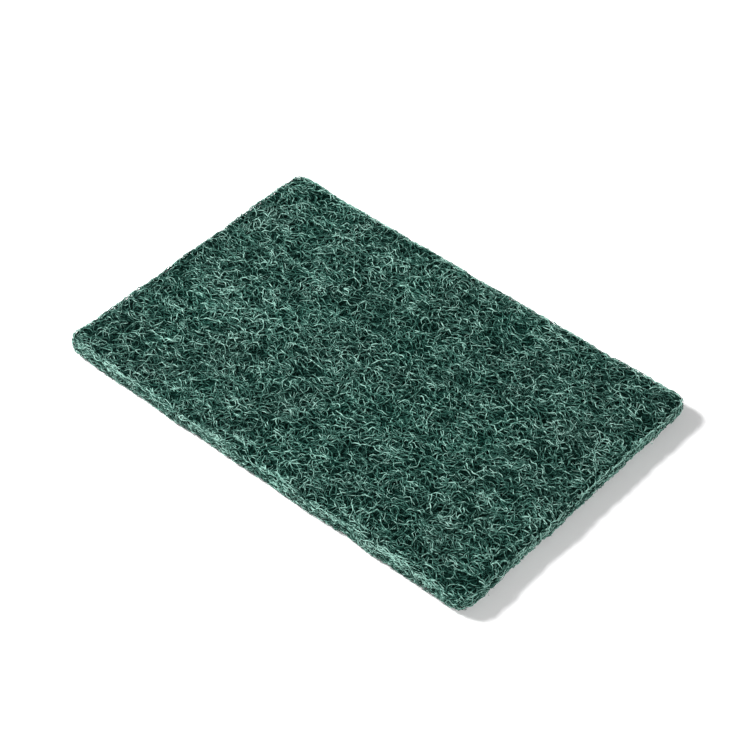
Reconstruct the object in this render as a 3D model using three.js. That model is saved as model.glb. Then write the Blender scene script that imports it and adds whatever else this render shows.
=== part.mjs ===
// A nylon scouring pad: one rectangle die-cut from a thick sheet of non-woven nylon web.
// It is a single soft piece, with nothing inside it and nothing that moves.
// Millimetres, +Z up. The pad lies on its underside, and the origin is the middle of that underside.

import * as THREE from "three";
import { mergeVertices } from "three/addons/utils/BufferGeometryUtils.js";

// Driving dimensions
const PAD_LENGTH = 229; // along X, 9 inches
const PAD_WIDTH = 152; // along Y, 6 inches
const PAD_LOFT = 9; // thickness of the web where nothing has crushed it
const CORNER_RADIUS = 5; // the four corners, seen from above
const ARRIS_RADIUS = 2.4; // where the cut edge turns over into each face
const MOST_ARRIS = 0.4; // share of the loft that one arris may take on a thin pad
const PINCH_DEPTH = 0.9; // how much thinner the cutting die leaves the web at its edge
const PINCH_REACH = 10; // how far in from the edge that thinning fades out
const FACE_HOLLOW = 0.7; // depth of the soft hollows in the upper face
const HOLLOW_LENGTH = 46; // from one hollow to the next
const EDGE_WANDER = 0.5; // how far a cut edge strays to either side of a straight line
const WANDER_LENGTH = 38; // from one stray to the next
const END_LIFT = 1.5; // how far the two ends curl up off the table
const REST_LENGTH = 170; // the middle stretch that does lie flat on the table

// Where each slow wave of the web starts, in radians, so that no two of them look alike
const HOLLOW_START = { along: 0.7, across: 2.1 };
const EDGE_START = { left: 1.3, right: 4.4, near: 2.9, far: 5.6 };
const HOLLOW_SKEW = 0.3; // how far aslant the hollows run
// What one slow wave is made of. The pitches share no multiple, so it doesn't repeat along an edge.
const WAVE_TONES = [
  { pitch: 1, weight: 0.5 },
  { pitch: 0.61, weight: 0.3 },
  { pitch: 1.7, weight: 0.2 },
];

// Fineness of the surface
const FACE_STEP = 6; // between grid lines on the two faces
const EDGE_STEP = 2.2; // between grid lines up the cut edge
const HALF_ARC = Math.tan(Math.PI / 8); // share of an arris at which one grid line halves its arc

const WEB_GREEN = 0x1d5145;

const halfLength = PAD_LENGTH / 2;
const halfWidth = PAD_WIDTH / 2;
// An arris leaves some of the cut edge upright between itself and the other one.
const arrisRadius = Math.min(ARRIS_RADIUS, MOST_ARRIS * PAD_LOFT);
// A corner can't be sharper than the arris that runs round it.
const cornerRadius = Math.max(CORNER_RADIUS, arrisRadius);
const arrisLines = [0, HALF_ARC * arrisRadius, arrisRadius];

// Even steps from low to high, without the two ends.
function between(low, high, step) {
  const count = Math.max(1, Math.round((high - low) / step));
  return Array.from({ length: count - 1 }, (_, i) => low + ((high - low) * (i + 1)) / count);
}

// Grid lines across the pad, from -half to half, with one at each place where the surface bends.
function linesAcross(half, innerBends = []) {
  const rim = [...arrisLines, cornerRadius, PINCH_REACH].map((inset) => half - inset);
  const bends = [...new Set([0, ...innerBends, ...rim])].sort((a, b) => a - b);
  const high = bends.slice(1).flatMap((bend, i) => [...between(bends[i], bend, FACE_STEP), bend]);
  return [...high.map((place) => -place).reverse(), 0, ...high];
}

// Grid lines up the cut edge, from the underside to the upper face.
function linesUp() {
  const high = arrisLines.map((height) => PAD_LOFT - height).reverse();
  return [...arrisLines, ...between(arrisRadius, high[0], EDGE_STEP), ...high];
}

// A slow, uneven wave between -1 and 1.
function drift(place, length, start) {
  const turn = (2 * Math.PI * place) / length;
  const tone = ({ pitch, weight }, i) => weight * Math.sin(pitch * turn + (i + 1) * start);
  return WAVE_TONES.map(tone).reduce((sum, part) => sum + part);
}

// How deep the upper face is hollowed at a place on it.
function hollow(x, y) {
  const along = drift(x + HOLLOW_SKEW * y, HOLLOW_LENGTH, HOLLOW_START.along);
  const across = drift(y - HOLLOW_SKEW * x, HOLLOW_LENGTH, HOLLOW_START.across);
  const swell = (along + across) / 2;
  return (FACE_HOLLOW * (1 - swell)) / 2;
}

// How far the rim is drawn sideways at a place on it, so that each cut edge strays by itself.
function wander(x, y) {
  const end = drift(y, WANDER_LENGTH, x < 0 ? EDGE_START.left : EDGE_START.right);
  const side = drift(x, WANDER_LENGTH, y < 0 ? EDGE_START.near : EDGE_START.far);
  return [(x / halfLength) * EDGE_WANDER * end, (y / halfWidth) * EDGE_WANDER * side];
}

// How far the pad has curled up off the table at a distance along it.
function lift(x) {
  const past = Math.max(0, Math.abs(x) - REST_LENGTH / 2);
  return END_LIFT * (past / (halfLength - REST_LENGTH / 2)) ** 2;
}

// Moves a point of a sharp-edged block to its place on the finished pad.
function shape(point) {
  const inset = Math.min(halfLength - Math.abs(point.x), halfWidth - Math.abs(point.y));

  // Seen from above, square rings round the centre of a corner become round ones.
  const flat = new THREE.Vector2(point.x, point.y);
  const core = new THREE.Vector2(halfLength - cornerRadius, halfWidth - cornerRadius);
  const centre = flat.clone().clamp(core.clone().negate(), core);
  const outward = flat.sub(centre);
  const ring = Math.max(Math.abs(outward.x), Math.abs(outward.y));
  const plan = centre.addScaledVector(outward.normalize(), ring);

  // Seen in section, the square rim becomes a quarter round above and below.
  const out = Math.max(0, arrisRadius - inset);
  const over = Math.max(0, point.z - (PAD_LOFT - arrisRadius));
  const under = Math.max(0, arrisRadius - point.z);
  const past = Math.hypot(out, over, under);
  const drawnIn = past > 0 ? 1 - Math.max(out, over, under) / past : 0;
  plan.addScaledVector(outward, -out * drawnIn);
  const height = (point.z - (over - under) * drawnIn) / PAD_LOFT;

  // The die has thinned the web towards its edge and drawn the rim about. Further in it is as it was,
  // so the underside there is a true plane, which the pad lies on.
  const rim = THREE.MathUtils.smoothstep(PINCH_REACH - inset, 0, PINCH_REACH);
  const [aside, back] = wander(plan.x, plan.y);
  const [x, y] = [plan.x + rim * aside, plan.y + rim * back];
  const sunk = hollow(x, y) * height + rim * PINCH_DEPTH * (height - 0.5);
  return point.set(x, y, PAD_LOFT * height - sunk + lift(x));
}

// The web: a block with a grid on all six faces, whose vertices are then moved.
function webGeometry() {
  const lines = [linesAcross(halfLength, [REST_LENGTH / 2]), linesAcross(halfWidth), linesUp()];
  const steps = lines.map((places) => places.length - 1);
  const block = new THREE.BoxGeometry(...steps, ...steps);
  const vertices = block.getAttribute("position");
  const point = new THREE.Vector3();
  for (let i = 0; i < vertices.count; i++) {
    const onGrid = point.fromBufferAttribute(vertices, i).toArray();
    point.set(...onGrid.map((step, axis) => lines[axis][Math.round(step + steps[axis] / 2)]));
    vertices.setXYZ(i, ...shape(point));
  }
  block.deleteAttribute("normal");
  block.deleteAttribute("uv");
  const web = mergeVertices(block);
  web.computeVertexNormals();
  return web;
}

const webMaterial = new THREE.MeshStandardMaterial({ color: WEB_GREEN, roughness: 0.75, metalness: 0 });
const scouringPad = new THREE.Mesh(webGeometry(), webMaterial);
scouringPad.name = "scouring_pad";

const model = new THREE.Group();
model.add(scouringPad);

export default model;
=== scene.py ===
"""The looks of a nylon scouring pad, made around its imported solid. Metres, +Z up.

The pad is a thick web of crimped nylon fibres that are stuck together where they cross. A dark,
lumpy body keeps the pad's form, and fibres lie on it, dive into it and stand off it a little.
"""

import math

import bmesh
import bpy
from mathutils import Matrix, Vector


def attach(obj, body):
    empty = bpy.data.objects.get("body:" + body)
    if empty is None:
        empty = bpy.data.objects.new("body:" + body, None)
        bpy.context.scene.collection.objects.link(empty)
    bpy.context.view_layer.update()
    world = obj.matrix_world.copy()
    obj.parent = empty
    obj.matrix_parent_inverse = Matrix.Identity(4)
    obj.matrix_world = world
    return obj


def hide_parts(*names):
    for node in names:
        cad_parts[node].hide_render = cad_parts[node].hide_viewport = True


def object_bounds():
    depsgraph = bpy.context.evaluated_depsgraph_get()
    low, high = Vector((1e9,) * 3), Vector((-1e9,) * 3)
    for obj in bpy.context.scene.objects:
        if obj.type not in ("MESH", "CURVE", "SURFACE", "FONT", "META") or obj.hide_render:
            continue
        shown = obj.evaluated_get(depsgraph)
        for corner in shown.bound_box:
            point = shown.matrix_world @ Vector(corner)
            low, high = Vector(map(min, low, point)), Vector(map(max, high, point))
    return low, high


MM = 0.001
PAD = "scouring_pad"
BODY = "root"
WELD = 0.01 * MM  # points of the solid's mesh that lie nearer than this are one point

# The web's body
BODY_GRID = 1.2 * MM  # side of one face of the body's mesh
BODY_INSET = 0.9 * MM  # how far the body lies under the pad's outer surface
LUMP_DEPTH = 1.2 * MM
LUMP_SIZE = 6 * MM
PIT_DEPTH = 1.2 * MM
PIT_SIZE = 2.6 * MM

# The fibres' common sizes
CRIMP_DEPTH = 0.55 * MM  # how far a fibre swings to either side of its own line
CRIMP_PITCH = 5 * MM  # from one swing to the next on the same side
WEAVE_DEPTH = 0.42 * MM  # how far it rises and dives
WEAVE_PITCH = 6 * MM
OVERHANG = 0.6 * MM  # how far a fibre may run past a cut edge before it ends
TUCK = 0.9 * MM  # how far a fibre's ends dive into the web
SHADE_DEPTH = 1.3 * MM  # how far down in the web a fibre is painted darkest, as painted shade
LIGHT_HEIGHT = 0.6 * MM  # how far out of the web it is painted lightest
HEIGHT_SHARE = 0.6  # how much of a fibre's shade is painted shade from how high it rides
TABLE_GAP = 0.25 * MM  # the least height of a fibre's middle line over what the pad lies on
TUBE_SIDES = 3
FEWEST_POINTS = 4  # a fibre that the cut edge leaves shorter than this is dropped
FACE_TILT = 0.7  # where the normal rises or falls by more than this, the web is one of its two faces
GRAIN_PULL = 0.6  # the higher it is, the more fibres run with the web's grain
END_DIVE = 5.0  # the higher it is, the nearer to its ends a fibre starts to dive

# How much fibres differ from one another: the least and the most, as shares of the sizes above
LENGTH_SPAN = (0.6, 1.3)
CRIMP_PITCH_SPAN = (0.7, 1.5)
CRIMP_DEPTH_SPAN = (0.4, 1.4)
BOW_SPAN = (-1.1, 1.1)  # to either side; a fibre's ends move a quarter of this share of its length
WEAVE_PITCH_SPAN = (0.7, 1.4)
THICKNESS_SPAN = (0.65, 1.45)

# The bake map: one square cell for each fibre, in rows
BAKE_ROW = 72  # cells in a row, and rows
BAKE_FILL = 0.9  # how much of its cell a fibre takes, each way
BAKE_MARGIN = (1 - BAKE_FILL) / 2
CAP_WIDTH = 0.1  # how far a cap's last corner moves towards the fibre's middle, as a share of the way
CLOSING_MIDDLE = (1 - 1 / TUBE_SIDES) / 2  # where round the tube the corners of its last face average
MAP_SLACK = 0.01

# Colours, linear. The fibres' go from painted shade deep in the web to painted highlights where they
# catch the light, and the darkest are also the web body's painted shade.
VOID_GREEN = (0.0006, 0.0040, 0.0030)
DEEP_GREEN = (0.0014, 0.0075, 0.0058)
WEB_GREEN = (0.012, 0.046, 0.036)
PALE_GREEN = (0.046, 0.125, 0.100)
MINT_GREEN = (0.240, 0.420, 0.360)
GLINT_GREEN = (0.65, 1.0, 0.88)
STUDIO_WHITE = (0.90, 0.90, 0.90)

# The strands painted on the web: their size, how many sizes long they are, and how wide
BODY_STRANDS = {"Strand_Size": 0.9 * MM, "Strand_Reach": 8.0, "Strand_Width": 0.06}
FINE_STRANDS = {"Strand_Size": 0.5 * MM, "Strand_Reach": 6.0, "Strand_Width": 0.05}
FIBRE_GRAIN = {"Strand_Size": 0.35 * MM, "Strand_Reach": 3.0, "Strand_Width": 0.1}
STRAND_SLANTS = (-62, -20, 12, 55)  # degrees off the pad's length
STRAND_SHIFT = Vector((3.0, 5.0, 0.0))  # from one slant's pattern to the next, so that they differ
FINE_HEIGHT = 0.4  # how high the fine strands stand, with the others as 1
STRAND_FALL = 0.7  # under 1, so that a strand is light over most of its width
BODY_BUMP = {"Distance": 0.4 * MM, "Strength": 0.8}
FIBRE_BUMP = {"Distance": 0.05 * MM, "Strength": 0.4}

# The mottles: how far apart their patches lie, and how strong they are
BODY_CLOUDS = {"Size": 9 * MM, "Contrast": 1.6}
FIBRE_CLOUDS = {"Size": 8 * MM, "Contrast": 1.6}
# Painted glints: spots about a millimetre apart, painted lighter and darker along the fibres as broken
# highlights
PAINTED_GLINTS = {"Size": 1.1 * MM, "Contrast": 2.6}
DYE_PATCHES = {"Size": 20 * MM, "Contrast": 2.0}

# What picks a fibre's colour, in shares that add up to one, and the share at which each colour stands
PAINTED_SHADE_AND_TONE_SHARE = 0.55  # the fibre's stored shade: painted shade from how high it rides, a shade of its own and its piece's painted light
# the share of the painted glints
PAINTED_GLINT_SHARE = 0.28
CLOUD_SHARE = 0.17
# The fibres' colours by share: painted shade at the dark end, painted highlights at the light end.
FIBRE_SHADES = [(0.32, DEEP_GREEN), (0.48, WEB_GREEN), (0.62, PALE_GREEN), (0.76, MINT_GREEN)]

# How the fibres shine
FIBRE_ROUGHNESS = (0.28, 0.55)
DYE_STRENGTH = (0.9, 1.1)
SHINE_FROM = 0.35  # the shade under which a fibre doesn't shine
MOST_SHINE = 0.5
MATT = 0.9  # roughness of the web's inside and of the floor
FLOOR_SHINE = 0.1

# The photographer's place and light
VIEW_TURN = math.radians(41.4)
VIEW_RISE = math.radians(45.2)
VIEW_DISTANCE = 0.96
VIEW_LENS = 105
SENSOR = 36
NEAREST_SEEN = 0.05
FLOOR_REACH = 4.0
KEY_LIGHT = {"place": (-0.75, -0.3, 0.7), "size": 0.3, "power": 27}
FILL_LIGHT = {"place": (1.0, -0.35, 0.55), "size": 0.5, "power": 11}
ROOM_LIGHT = 0.18  # how strongly the white room lights the pad
ROOM_SEEN = 1.0  # how bright it looks to the camera

# The pieces of fibre: what each has of its own, with the rest as in fibre_tree. Density is fibres to
# the square metre, and Facing is how much the web there faces up, from -1 to 1.
# The shade each piece adds to all its fibres is painted light and shade: a whole piece painted lighter or
# darker.
FACE_FIBRE = {"Length": 11 * MM, "Points": 8, "Thickness": 0.4 * MM}
UPPER_FIBRE = {**FACE_FIBRE, "Facing_Low": FACE_TILT}
FIBRE_PIECES = {
    # Painted shade: these fibres are painted darker, as they lie deep in the web.
    "upper_fibres_deep": {
        **UPPER_FIBRE,
        "Density": 1.15e5,
        "Ride_Low": -0.7 * MM,
        "Ride_High": -0.2 * MM,
        "Painted_Light": -0.15,
        "Seed": 1,
    },
    "upper_fibres": {**UPPER_FIBRE, "Density": 1.15e5, "Ride_Low": -0.4 * MM, "Seed": 2},
    "upper_fibres_proud": {
        **UPPER_FIBRE,
        "Density": 0.7e5,
        "Ride_Low": -0.2 * MM,
        "Ride_High": 0.4 * MM,
        "Seed": 3,
    },
    "lower_fibres": {
        **FACE_FIBRE,
        "Facing_High": -FACE_TILT,
        "Density": 1.2e5,
        "Ride_Low": -0.5 * MM,
        "Ride_High": 0.0,
        "Weave_Depth": 0.3 * MM,
        "Painted_Light": 0.08,
        "Seed": 4,
    },
    "edge_fibres": {
        "Facing_Low": -0.85,
        "Facing_High": 0.85,
        "Density": 7e5,
        "Length": 8 * MM,
        "Points": 8,
        "Thickness": 0.38 * MM,
        "Spread": math.radians(45),
        "Crimp_Depth": 0.45 * MM,
        "Ride_Low": -0.8 * MM,
        "Ride_High": 0.4 * MM,
        "Painted_Light": 0.05,
        "Seed": 5,
    },
    # Painted highlight: these fibres are painted lighter, as the bright line where the rounded arris
    # catches the light.
    "arris_fibres": {
        "Facing_Low": 0.45,
        "Facing_High": 0.9,
        "Density": 4e5,
        "Length": 9 * MM,
        "Points": 8,
        "Spread": math.radians(14),
        "Crimp_Depth": 0.2 * MM,
        "Ride_Low": 0.0,
        "Ride_High": 0.3 * MM,
        "Painted_Light": 0.25,
        "Seed": 6,
    },
    "stray_fibres": {
        "Facing_Low": -0.5,
        "Density": 0.25e5,
        "Length": 5 * MM,
        "Points": 7,
        "Thickness": 0.2 * MM,
        "Tuck": -1.3 * MM,
        "Overhang": 2.5 * MM,
        "Painted_Light": 0.2,
        "Seed": 7,
    },
}


# Node trees


def add(tree, kind, sockets=None, out=0, **settings):
    """A new node's output. Each of its sockets takes a value or another node's output."""
    node = tree.nodes.new(kind)
    for name, value in settings.items():
        setattr(node, name, value)
    for key, value in (sockets or {}).items():
        if isinstance(value, bpy.types.NodeSocket):
            tree.links.new(value, node.inputs[key])
        else:
            node.inputs[key].default_value = value
    return node.outputs[out]


def maths(tree, operation, *values):
    return add(tree, "ShaderNodeMath", dict(enumerate(values)), operation=operation)


def vector(tree, operation, *values):
    return add(tree, "ShaderNodeVectorMath", dict(enumerate(values)), operation=operation)


def scaled(tree, direction, length):
    return add(tree, "ShaderNodeVectorMath", {0: direction, "Scale": length}, operation="SCALE")


def between(tree, share, low, high):
    """The number at a share, from 0 to 1, of the way from one number to another."""
    return add(tree, "ShaderNodeMapRange", {"Value": share, "To Min": low, "To Max": high})


def new_group(kind, name, takes, gives):
    """A node group with named sockets, and its input node's outputs by name."""
    tree = bpy.data.node_groups.new(name, kind)
    for in_out, sockets in (("INPUT", takes), ("OUTPUT", gives)):
        for label, (socket, value) in sockets.items():
            made = tree.interface.new_socket(label, in_out=in_out, socket_type=f"NodeSocket{socket}")
            if value is not None:
                made.default_value = value
    given = tree.nodes.new("NodeGroupInput").outputs
    return tree, {label: given[label] for label in takes}


def put_out(tree, results):
    """Links a group's results to its output node."""
    end = tree.nodes.new("NodeGroupOutput")
    for label, socket in results.items():
        tree.links.new(socket, end.inputs[label])


# The web's finishes, shared by its body and its fibres


def web_clouds():
    """Where the web is thicker or thinner: a soft mottle a centimetre or so across."""
    tree, given = new_group(
        "ShaderNodeTree",
        "web_clouds",
        {"Size": ("Float", 12 * MM), "Contrast": ("Float", 1.0)},
        {"Tone": ("Float", None)},
    )
    place = add(tree, "ShaderNodeTexCoord", out="Object")
    per_size = maths(tree, "DIVIDE", 1.0, given["Size"])
    noise = add(
        tree,
        "ShaderNodeTexNoise",
        {"Vector": place, "Scale": per_size, "Detail": 3.0, "Roughness": 0.6},
    )
    swing = maths(tree, "MULTIPLY", maths(tree, "SUBTRACT", noise, 0.5), given["Contrast"])
    put_out(tree, {"Tone": maths(tree, "ADD", swing, 0.5)})
    return tree


def fibre_net():
    """Fine strands that cross at several slants, light on dark, as they show deep in the web."""
    tree, given = new_group(
        "ShaderNodeTree",
        "fibre_net",
        {
            "Strand Size": ("Float", 0.8 * MM),
            "Strand Reach": ("Float", 7.0),
            "Strand Width": ("Float", 0.07),
        },
        {"Strands": ("Float", None)},
    )
    place = add(tree, "ShaderNodeTexCoord", out="Object")
    per_size = maths(tree, "DIVIDE", 1.0, given["Strand Size"])
    along = maths(tree, "DIVIDE", 1.0, given["Strand Reach"])
    stretch = add(tree, "ShaderNodeCombineXYZ", {"X": along, "Y": 1.0, "Z": 1.0})
    layers = []
    for number, slant in enumerate(STRAND_SLANTS):
        turned = add(
            tree,
            "ShaderNodeVectorRotate",
            {"Vector": place, "Angle": math.radians(slant)},
            rotation_type="Z_AXIS",
        )
        moved = vector(tree, "ADD", turned, number * STRAND_SHIFT)
        noise = add(
            tree,
            "ShaderNodeTexNoise",
            {"Vector": vector(tree, "MULTIPLY", moved, stretch), "Scale": per_size, "Detail": 1.0},
        )
        off_line = maths(tree, "ABSOLUTE", maths(tree, "SUBTRACT", noise, 0.5))
        layers.append(maths(tree, "DIVIDE", off_line, given["Strand Width"]))
    nearest = layers[0]
    for layer in layers[1:]:
        nearest = maths(tree, "MINIMUM", nearest, layer)
    inside = add(tree, "ShaderNodeClamp", {"Value": maths(tree, "SUBTRACT", 1.0, nearest)})
    put_out(tree, {"Strands": maths(tree, "POWER", inside, STRAND_FALL)})
    return tree


def use(tree, group, out, **values):
    """Places a shared group in a material, with values of its own, and gives one of its outputs."""
    node = tree.nodes.new("ShaderNodeGroup")
    node.node_tree = group
    for label, value in values.items():
        node.inputs[label.replace("_", " ")].default_value = value
    return node.outputs[out]


def blend_of(tree, share, low, high):
    """A colour between two others."""
    return add(tree, "ShaderNodeMix", {0: share, 6: low, 7: high}, out=2, data_type="RGBA")


def opaque(colour):
    return (*colour, 1.0)


def new_material(name):
    """A material with its tree cleared, and its Principled BSDF."""
    material = bpy.data.materials.new(name)
    material.use_nodes = True
    material.node_tree.nodes.clear()
    shader = material.node_tree.nodes.new("ShaderNodeBsdfPrincipled")
    end = material.node_tree.nodes.new("ShaderNodeOutputMaterial")
    material.node_tree.links.new(shader.outputs[0], end.inputs["Surface"])
    return material, material.node_tree, shader


def body_finish(clouds, net):
    """The inside of the web in painted shade: dark strands, with near-black painted shade in the gaps
    between them.
    """
    material, tree, shader = new_material("web_body")
    strands = use(tree, net, "Strands", **BODY_STRANDS)
    fine = use(tree, net, "Strands", **FINE_STRANDS)
    tone = use(tree, clouds, "Tone", **BODY_CLOUDS)
    deep = blend_of(tree, fine, opaque(VOID_GREEN), opaque(DEEP_GREEN))
    near = blend_of(tree, tone, opaque(DEEP_GREEN), opaque(WEB_GREEN))
    tree.links.new(blend_of(tree, strands, deep, near), shader.inputs["Base Color"])
    height = maths(tree, "ADD", strands, maths(tree, "MULTIPLY", fine, FINE_HEIGHT))
    bump = add(tree, "ShaderNodeBump", {"Height": height, **BODY_BUMP})
    tree.links.new(bump, shader.inputs["Normal"])
    shader.inputs["Roughness"].default_value = MATT
    shader.inputs["Specular IOR Level"].default_value = 0.0
    return material


def fibre_finish(name, clouds, net, shades):
    """Nylon fibres under a thin coat of resin, their colour carrying painted shade and painted glints.
    shades are their places and colours, darkest first.
    """
    material, tree, shader = new_material(name)
    pick = add(tree, "ShaderNodeAttribute", out="Fac", attribute_name="shade")
    tone = use(tree, clouds, "Tone", **FIBRE_CLOUDS)
    # Painted glints: the fibres' colour is broken into lighter and darker spots along them, as
    # highlights.
    painted_glint = use(tree, clouds, "Tone", **PAINTED_GLINTS)
    # The stored shade holds painted shade from how high a fibre rides, a shade of its own and its piece's
    # painted light.
    own = maths(tree, "MULTIPLY", pick, PAINTED_SHADE_AND_TONE_SHARE)
    painted_glint_part = maths(tree, "MULTIPLY", painted_glint, PAINTED_GLINT_SHARE)
    clouded = maths(tree, "MULTIPLY", tone, CLOUD_SHARE)
    share = maths(tree, "ADD", maths(tree, "ADD", own, painted_glint_part), clouded)
    ramp = tree.nodes.new("ShaderNodeValToRGB")
    tree.links.new(share, ramp.inputs[0])
    stops = ramp.color_ramp.elements
    while len(stops) < len(shades):
        stops.new(0.5)
    for stop, (place, shade) in zip(stops, shades):
        stop.position = place
        stop.color = opaque(shade)
    grain = use(tree, net, "Strands", **FIBRE_GRAIN)
    dull = between(tree, grain, *FIBRE_ROUGHNESS)
    patch = use(tree, clouds, "Tone", **DYE_PATCHES)
    strength = between(tree, patch, *DYE_STRENGTH)
    dyed = add(tree, "ShaderNodeHueSaturation", {"Saturation": strength, "Color": ramp.outputs[0]})
    tree.links.new(dyed, shader.inputs["Base Color"])
    tree.links.new(dull, shader.inputs["Roughness"])
    bump = add(tree, "ShaderNodeBump", {"Height": grain, **FIBRE_BUMP})
    tree.links.new(bump, shader.inputs["Normal"])
    shines = {"Value": pick, "From Min": SHINE_FROM, "To Max": MOST_SHINE}
    shine = add(tree, "ShaderNodeMapRange", shines)
    tree.links.new(shine, shader.inputs["Specular IOR Level"])
    shader.inputs["Specular Tint"].default_value = opaque(GLINT_GREEN)
    return material


# The pad's form


def pad_form():
    """A whole mesh of the pad's outer form, from a merged copy of its solid."""
    form = bmesh.new()
    form.from_mesh(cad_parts[PAD].data)
    bmesh.ops.remove_doubles(form, verts=form.verts, dist=WELD)
    mesh = bpy.data.meshes.new("pad_form")
    form.to_mesh(mesh)
    form.free()
    obj = bpy.data.objects.new("pad_form", mesh)
    bpy.context.scene.collection.objects.link(obj)
    smooth = obj.modifiers.new("smooth", "REMESH")
    smooth.mode = "VOXEL"
    smooth.voxel_size = BODY_GRID
    smooth.use_smooth_shade = True
    return obj


def as_mesh(obj, name):
    """The object with its modifiers, as a plain mesh in an object of its own."""
    depsgraph = bpy.context.evaluated_depsgraph_get()
    mesh = bpy.data.meshes.new_from_object(obj.evaluated_get(depsgraph), depsgraph=depsgraph)
    mesh.name = name
    made = bpy.data.objects.new(name, mesh)
    bpy.context.scene.collection.objects.link(made)
    return made


def dressed(base, tree, name, **values):
    """What a Geometry Nodes tree makes of the base, with the tree's named inputs set, as a plain mesh."""
    nodes = base.modifiers.new(name, "NODES")
    nodes.node_group = tree
    for item in tree.interface.items_tree:
        key = item.name.replace(" ", "_")
        if item.in_out == "INPUT" and key in values:
            nodes[item.identifier] = values[key]
    made = as_mesh(base, name)
    base.modifiers.remove(nodes)
    return made


def web_relief(material):
    """Sinks the pad's form under its fibres and gives it the web's lumps and pits."""
    tree, given = new_group(
        "GeometryNodeTree",
        "web_relief",
        {
            "Geometry": ("Geometry", None),
            "Inset": ("Float", BODY_INSET),
            "Lump Depth": ("Float", LUMP_DEPTH),
            "Lump Size": ("Float", LUMP_SIZE),
            "Pit Depth": ("Float", PIT_DEPTH),
            "Pit Size": ("Float", PIT_SIZE),
        },
        {"Geometry": ("Geometry", None)},
    )

    def waves(depth, size, seed):
        noise = add(
            tree,
            "ShaderNodeTexNoise",
            {"W": seed, "Scale": maths(tree, "DIVIDE", 1.0, size), "Detail": 1.0},
            noise_dimensions="4D",
        )
        return maths(tree, "MULTIPLY", maths(tree, "SUBTRACT", noise, 0.5), depth)

    lumps = waves(given["Lump Depth"], given["Lump Size"], 1.0)
    pits = waves(given["Pit Depth"], given["Pit Size"], 2.0)
    rise = maths(tree, "SUBTRACT", maths(tree, "ADD", lumps, pits), given["Inset"])
    normal = add(tree, "GeometryNodeInputNormal")
    moved = add(
        tree,
        "GeometryNodeSetPosition",
        {"Geometry": given["Geometry"], "Offset": scaled(tree, normal, rise)},
    )
    finish_tree(tree, moved, material)
    return tree


def finish_tree(tree, geometry, material):
    """Ends a Geometry Nodes tree with whole, smooth geometry in its material."""
    whole = add(tree, "GeometryNodeRealizeInstances", {0: geometry})
    smooth = add(tree, "GeometryNodeSetShadeSmooth", {0: whole})
    painted = add(tree, "GeometryNodeSetMaterial", {"Geometry": smooth, "Material": material})
    put_out(tree, {"Geometry": painted})


# Fibres


def chance(tree, low, high, seed, each=None):
    """A random number for each point, or for each value of a field. Every draw has its own seed."""
    sockets = {2: low, 3: high, "Seed": seed}
    if each is not None:
        sockets["ID"] = each
    return add(tree, "FunctionNodeRandomValue", sockets, out=1, data_type="FLOAT")


def named(tree, name):
    return add(tree, "GeometryNodeInputNamedAttribute", {"Name": name}, data_type="FLOAT")


def store(tree, geometry, name, value, domain="POINT", data_type="FLOAT"):
    return add(
        tree,
        "GeometryNodeStoreNamedAttribute",
        {"Geometry": geometry, "Name": name, "Value": value},
        data_type=data_type,
        domain=domain,
    )


def wave(tree, run, pitch, start):
    """A sine wave over a distance, from -1 to 1."""
    turns = maths(tree, "ADD", maths(tree, "DIVIDE", run, pitch), start)
    return maths(tree, "SINE", maths(tree, "MULTIPLY", turns, 2 * math.pi))


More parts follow.
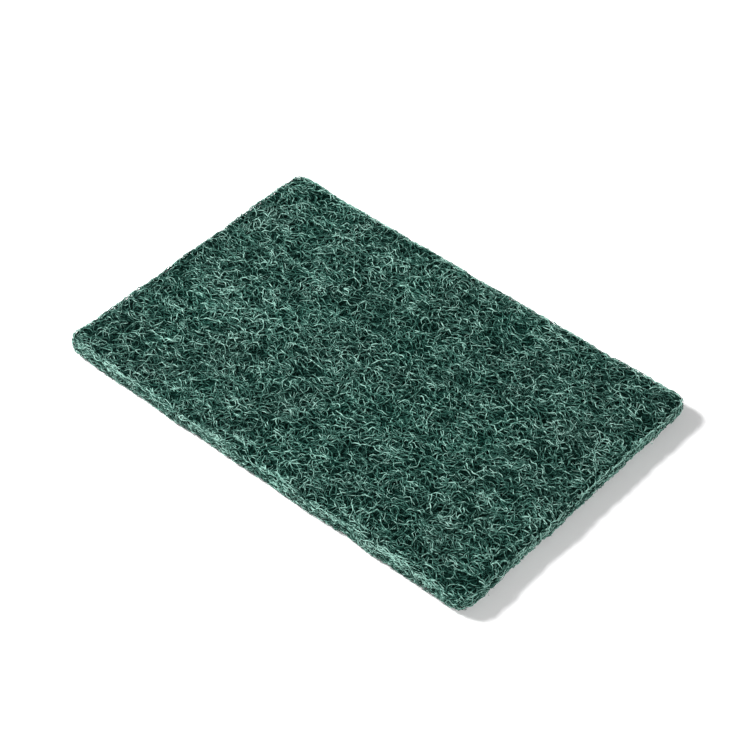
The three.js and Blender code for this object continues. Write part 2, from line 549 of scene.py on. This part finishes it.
def laid_lines(tree, given):
    """Straight lines that touch the web where it faces the asked way, turned about the web's grain."""
    tilt = add(tree, "ShaderNodeSeparateXYZ", {0: add(tree, "GeometryNodeInputNormal")}, out="Z")
    high_enough = maths(tree, "GREATER_THAN", tilt, given["Facing Low"])
    low_enough = maths(tree, "LESS_THAN", tilt, given["Facing High"])
    scatter = tree.nodes.new("GeometryNodeDistributePointsOnFaces")
    tree.links.new(given["Geometry"], scatter.inputs["Mesh"])
    tree.links.new(maths(tree, "MULTIPLY", high_enough, low_enough), scatter.inputs["Selection"])
    tree.links.new(given["Density"], scatter.inputs["Density"])
    tree.links.new(given["Seed"], scatter.inputs["Seed"])
    normal = scatter.outputs["Normal"]

    # The grain runs along the pad on its faces, and along the cut edge on each edge.
    on_face = maths(
        tree,
        "GREATER_THAN",
        maths(tree, "ABSOLUTE", add(tree, "ShaderNodeSeparateXYZ", {0: normal}, out="Z")),
        FACE_TILT,
    )
    round_edge = vector(tree, "NORMALIZE", vector(tree, "CROSS_PRODUCT", (0.0, 0.0, 1.0), normal))
    grain = add(
        tree,
        "ShaderNodeMix",
        {0: on_face, 4: round_edge, 5: (1.0, 0.0, 0.0)},
        out=1,
        data_type="VECTOR",
    )
    upright = add(tree, "FunctionNodeAlignRotationToVector", {"Vector": normal}, axis="Z")
    with_grain = add(
        tree,
        "FunctionNodeAlignRotationToVector",
        {"Rotation": upright, "Vector": grain},
        axis="X",
        pivot_axis="Z",
    )
    aside = chance(tree, -1.0, 1.0, 11)
    eased = maths(tree, "POWER", maths(tree, "ABSOLUTE", aside), GRAIN_PULL)
    slant = maths(tree, "MULTIPLY", maths(tree, "MULTIPLY", aside, eased), given["Spread"])
    spin = add(tree, "FunctionNodeAxisAngleToRotation", {"Axis": (0.0, 0.0, 1.0), "Angle": slant})
    turned = add(
        tree,
        "FunctionNodeRotateRotation",
        {0: with_grain, 1: spin},
        rotation_space="LOCAL",
    )
    line = add(
        tree, "GeometryNodeCurvePrimitiveLine", {"Start": (-0.5, 0.0, 0.0), "End": (0.5, 0.0, 0.0)}
    )
    stepped = add(tree, "GeometryNodeResampleCurve", {"Curve": line, "Count": given["Points"]})
    length = maths(tree, "MULTIPLY", given["Length"], chance(tree, *LENGTH_SPAN, 12))
    laid = add(
        tree,
        "GeometryNodeInstanceOnPoints",
        {
            "Points": scatter.outputs["Points"],
            "Instance": stepped,
            "Rotation": turned,
            "Scale": add(tree, "ShaderNodeCombineXYZ", {"X": length, "Y": length, "Z": length}),
        },
    )
    return add(tree, "GeometryNodeRealizeInstances", {0: laid})


def crimped(tree, given, lines):
    """Swings each line from side to side, and ends it where it leaves the web."""
    strand = add(tree, "GeometryNodeCurveOfPoint", out="Curve Index")
    run = add(tree, "GeometryNodeSplineParameter", out="Length")
    share = add(tree, "GeometryNodeSplineParameter", out="Factor")
    lines = store(tree, lines, "strand", strand)
    lines = store(tree, lines, "share", share)
    lines = store(tree, lines, "run", run)
    lines = store(tree, lines, "layer", chance(tree, 0.0, 1.0, 21, strand))

    normal = add(
        tree,
        "GeometryNodeSampleNearestSurface",
        {"Mesh": given["Geometry"], "Value": add(tree, "GeometryNodeInputNormal")},
        data_type="FLOAT_VECTOR",
    )
    ahead = add(tree, "GeometryNodeInputTangent")
    aside = vector(tree, "NORMALIZE", vector(tree, "CROSS_PRODUCT", normal, ahead))
    pitch = maths(tree, "MULTIPLY", given["Crimp Pitch"], chance(tree, *CRIMP_PITCH_SPAN, 22, strand))
    swing = wave(tree, run, pitch, chance(tree, 0.0, 1.0, 23, strand))
    own_depth = chance(tree, *CRIMP_DEPTH_SPAN, 24, strand)
    crimp_depth = maths(tree, "MULTIPLY", given["Crimp Depth"], own_depth)
    crimp = maths(tree, "MULTIPLY", swing, crimp_depth)
    bow = maths(tree, "POWER", maths(tree, "ABSOLUTE", maths(tree, "SUBTRACT", share, 0.5)), 2.0)
    bow_depth = maths(tree, "MULTIPLY", given["Length"], chance(tree, *BOW_SPAN, 25, strand))
    bend = maths(tree, "MULTIPLY", bow, bow_depth)
    swung = add(
        tree,
        "GeometryNodeSetPosition",
        {"Geometry": lines, "Offset": scaled(tree, aside, maths(tree, "ADD", crimp, bend))},
    )
    away = add(
        tree, "GeometryNodeProximity", {0: given["Geometry"]}, out="Distance", target_element="FACES"
    )
    outside = maths(tree, "GREATER_THAN", away, given["Overhang"])
    kept = add(
        tree, "GeometryNodeDeleteGeometry", {"Geometry": swung, "Selection": outside}, domain="POINT"
    )
    left = add(tree, "GeometryNodeSplineLength", out="Point Count")
    scraps = maths(tree, "LESS_THAN", left, FEWEST_POINTS - 0.5)
    return add(
        tree, "GeometryNodeDeleteGeometry", {"Geometry": kept, "Selection": scraps}, domain="CURVE"
    )


def woven(tree, given, lines):
    """Draws the lines down to the web, so that they rise out of it, dive into it and end in it."""
    nearest = add(
        tree, "GeometryNodeProximity", {0: given["Geometry"]}, out="Position", target_element="FACES"
    )
    normal = add(
        tree,
        "GeometryNodeSampleNearestSurface",
        {"Mesh": given["Geometry"], "Value": add(tree, "GeometryNodeInputNormal")},
        data_type="FLOAT_VECTOR",
    )
    strand = named(tree, "strand")
    whole = add(tree, "FunctionNodeFloatToInt", {0: strand}, rounding_mode="ROUND")
    pitch = maths(tree, "MULTIPLY", given["Weave Pitch"], chance(tree, *WEAVE_PITCH_SPAN, 31, whole))
    swing = wave(tree, named(tree, "run"), pitch, chance(tree, 0.0, 1.0, 32, whole))
    rise = maths(tree, "MULTIPLY", swing, given["Weave Depth"])
    layer = between(tree, named(tree, "layer"), given["Ride Low"], given["Ride High"])
    from_middle = maths(tree, "ABSOLUTE", maths(tree, "SUBTRACT", named(tree, "share"), 0.5))
    to_end = maths(tree, "POWER", maths(tree, "MULTIPLY", from_middle, 2.0), END_DIVE)
    dive = maths(tree, "MULTIPLY", to_end, given["Tuck"])
    height = maths(tree, "SUBTRACT", maths(tree, "ADD", rise, layer), dive)
    place = vector(tree, "ADD", nearest, scaled(tree, normal, height))

    # Only a fibre's height is held, as no part of the pad is a metre to either side.
    above_table = vector(tree, "MAXIMUM", place, (-1.0, -1.0, TABLE_GAP))
    laid = add(tree, "GeometryNodeSetPosition", {"Geometry": lines, "Position": above_table})

    # A fibre is painted lighter the higher it rides, as painted shade for the web's depths, and each has
    # a shade of its own besides. The shift each piece adds last is painted light and shade.
    painted_depth_shade = add(
        tree,
        "ShaderNodeMapRange",
        {
            "Value": height,
            "From Min": -SHADE_DEPTH,
            "From Max": LIGHT_HEIGHT,
            "To Max": HEIGHT_SHARE,
        },
    )
    by_chance = chance(tree, 0.0, 1 - HEIGHT_SHARE, 34, whole)
    shade = maths(tree, "ADD", maths(tree, "ADD", painted_depth_shade, by_chance), given["Painted_Light"])
    return store(tree, laid, "shade", shade)


def spun(tree, given, lines):
    """Gives the lines their thickness as closed tubes, each with its own cell of the bake map."""
    strand = add(tree, "FunctionNodeFloatToInt", {0: named(tree, "strand")}, rounding_mode="ROUND")
    half = maths(tree, "MULTIPLY", given["Thickness"], 0.5)
    radius = maths(tree, "MULTIPLY", half, chance(tree, *THICKNESS_SPAN, 41, strand))
    ring = add(tree, "GeometryNodeCurvePrimitiveCircle", {"Resolution": TUBE_SIDES, "Radius": 1.0})
    ring = store(tree, ring, "around", add(tree, "GeometryNodeSplineParameter", out="Factor"))
    tubes = add(
        tree,
        "GeometryNodeCurveToMesh",
        {"Curve": lines, "Profile Curve": ring, "Scale": radius, "Fill Caps": True},
    )
    return store(tree, tubes, "OFBake", bake_place(tree), domain="CORNER", data_type="FLOAT2")


def bake_place(tree):
    """Where a corner of a fibre's face lies in the bake map, in a square that is the fibre's alone."""
    around = named(tree, "around")
    share = named(tree, "share")

    # The last of the long faces ends where the first one began, one whole turn on.
    face_middle = add(tree, "GeometryNodeFieldOnDomain", {0: around}, domain="FACE", data_type="FLOAT")
    closing = maths(tree, "COMPARE", face_middle, CLOSING_MIDDLE, MAP_SLACK)
    at_start = maths(tree, "LESS_THAN", around, MAP_SLACK)
    up = maths(tree, "ADD", around, maths(tree, "MULTIPLY", closing, at_start))

    # A cap's corners share one place along the fibre. One of them moves, so that the cap has a width.
    corners = add(tree, "GeometryNodeInputMeshFaceNeighbors", out="Vertex Count")
    cap = maths(tree, "LESS_THAN", corners, TUBE_SIDES + 0.5)
    inward = maths(tree, "MULTIPLY", maths(tree, "SUBTRACT", 0.5, share), CAP_WIDTH)
    past_half = maths(tree, "GREATER_THAN", around, 0.5)
    moved = maths(tree, "MULTIPLY", cap, past_half)
    along = maths(tree, "ADD", share, maths(tree, "MULTIPLY", inward, moved))

    strand = named(tree, "strand")
    row = maths(tree, "FLOOR", maths(tree, "DIVIDE", strand, BAKE_ROW))
    column = maths(tree, "SUBTRACT", strand, maths(tree, "MULTIPLY", row, BAKE_ROW))
    in_cell = add(tree, "ShaderNodeCombineXYZ", {"X": along, "Y": up})
    inset = vector(tree, "ADD", scaled(tree, in_cell, BAKE_FILL), (BAKE_MARGIN, BAKE_MARGIN, 0.0))
    cell = add(tree, "ShaderNodeCombineXYZ", {"X": column, "Y": row})
    return scaled(tree, vector(tree, "ADD", cell, inset), 1 / BAKE_ROW)


def fibre_tree(material):
    """Fibres over the part of the web that faces the asked way."""
    tree, given = new_group(
        "GeometryNodeTree",
        "fibres_" + material.name,
        {
            "Geometry": ("Geometry", None),
            "Facing Low": ("Float", -1.1),
            "Facing High": ("Float", 1.1),
            "Density": ("Float", 1e5),
            "Length": ("Float", 18 * MM),
            "Points": ("Int", 12),
            "Thickness": ("Float", 0.3 * MM),
            "Spread": ("Float", math.radians(90)),
            "Crimp Depth": ("Float", CRIMP_DEPTH),
            "Crimp Pitch": ("Float", CRIMP_PITCH),
            "Weave Depth": ("Float", WEAVE_DEPTH),
            "Weave Pitch": ("Float", WEAVE_PITCH),
            "Ride Low": ("Float", -0.4 * MM),
            "Ride High": ("Float", 0.2 * MM),
            "Tuck": ("Float", TUCK),
            "Overhang": ("Float", OVERHANG),
            "Painted_Light": ("Float", 0.0),
            "Seed": ("Int", 1),
        },
        {"Geometry": ("Geometry", None)},
    )
    lines = crimped(tree, given, laid_lines(tree, given))
    finish_tree(tree, spun(tree, given, woven(tree, given, lines)), material)
    return tree


# The studio


def place_camera(target):
    """The camera at the photographer's place, with the pad's far end up."""
    data = bpy.data.cameras.new("camera")
    data.lens = VIEW_LENS
    data.sensor_width = SENSOR
    data.clip_start = NEAREST_SEEN
    camera = bpy.data.objects.new("camera", data)
    bpy.context.scene.collection.objects.link(camera)
    back = Vector(
        (
            math.sin(VIEW_TURN) * math.cos(VIEW_RISE),
            -math.cos(VIEW_TURN) * math.cos(VIEW_RISE),
            math.sin(VIEW_RISE),
        )
    )
    camera.location = target + VIEW_DISTANCE * back
    camera.rotation_euler = (-back).to_track_quat("-Z", "Y").to_euler()
    bpy.context.scene.camera = camera


def softbox(name, target, place, size, power):
    """A square studio lamp that looks at the pad."""
    data = bpy.data.lights.new(name, "AREA")
    data.size = size
    data.energy = power
    lamp = bpy.data.objects.new(name, data)
    lamp.location = place
    lamp.rotation_euler = (target - Vector(place)).to_track_quat("-Z", "Y").to_euler()
    bpy.context.scene.collection.objects.link(lamp)


def light_studio(target):
    softbox("key_light", target, **KEY_LIGHT)
    softbox("fill_light", target, **FILL_LIGHT)
    world = bpy.data.worlds.new("studio")
    world.use_nodes = True
    tree = world.node_tree
    tree.nodes.clear()
    seen = add(tree, "ShaderNodeLightPath", out="Is Camera Ray")
    strength = between(tree, seen, ROOM_LIGHT, ROOM_SEEN)
    sky = add(tree, "ShaderNodeBackground", {"Color": (1.0, 1.0, 1.0, 1.0), "Strength": strength})
    end = tree.nodes.new("ShaderNodeOutputWorld")
    tree.links.new(sky, end.inputs["Surface"])
    bpy.context.scene.world = world


def lay_floor():
    """A pale floor under the pad, wide enough to fill the view."""
    material, _, shader = new_material("studio_floor")
    shader.inputs["Base Color"].default_value = opaque(STUDIO_WHITE)
    shader.inputs["Roughness"].default_value = MATT
    shader.inputs["Specular IOR Level"].default_value = FLOOR_SHINE
    corners = [(-1, -1), (1, -1), (1, 1), (-1, 1)]
    mesh = bpy.data.meshes.new("studio_floor")
    mesh.from_pydata([(FLOOR_REACH * x, FLOOR_REACH * y, 0) for x, y in corners], [], [(0, 1, 2, 3)])
    mesh.materials.append(material)
    floor = bpy.data.objects.new("studio_floor", mesh)
    bpy.context.scene.collection.objects.link(floor)


# The pad

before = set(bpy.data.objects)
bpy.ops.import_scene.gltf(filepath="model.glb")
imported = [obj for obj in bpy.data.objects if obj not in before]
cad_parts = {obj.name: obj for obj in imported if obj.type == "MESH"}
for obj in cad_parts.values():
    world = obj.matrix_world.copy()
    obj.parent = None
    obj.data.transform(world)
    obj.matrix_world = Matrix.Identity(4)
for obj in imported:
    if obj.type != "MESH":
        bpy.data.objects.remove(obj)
cad_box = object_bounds()
middle = (cad_box[0] + cad_box[1]) / 2
bpy.context.scene.view_settings.view_transform = "Standard"
place_camera(middle)
light_studio(middle)
lay_floor()

clouds = web_clouds()
net = fibre_net()
form = pad_form()

body = dressed(form, web_relief(body_finish(clouds, net)), "web_body")
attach(body, BODY)
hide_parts(PAD)

fibre_maker = fibre_tree(fibre_finish("face_fibres", clouds, net, FIBRE_SHADES))
for name, sizes in FIBRE_PIECES.items():
    fibres = dressed(form, fibre_maker, name, **sizes)
    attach(fibres, BODY)
bpy.data.objects.remove(form)
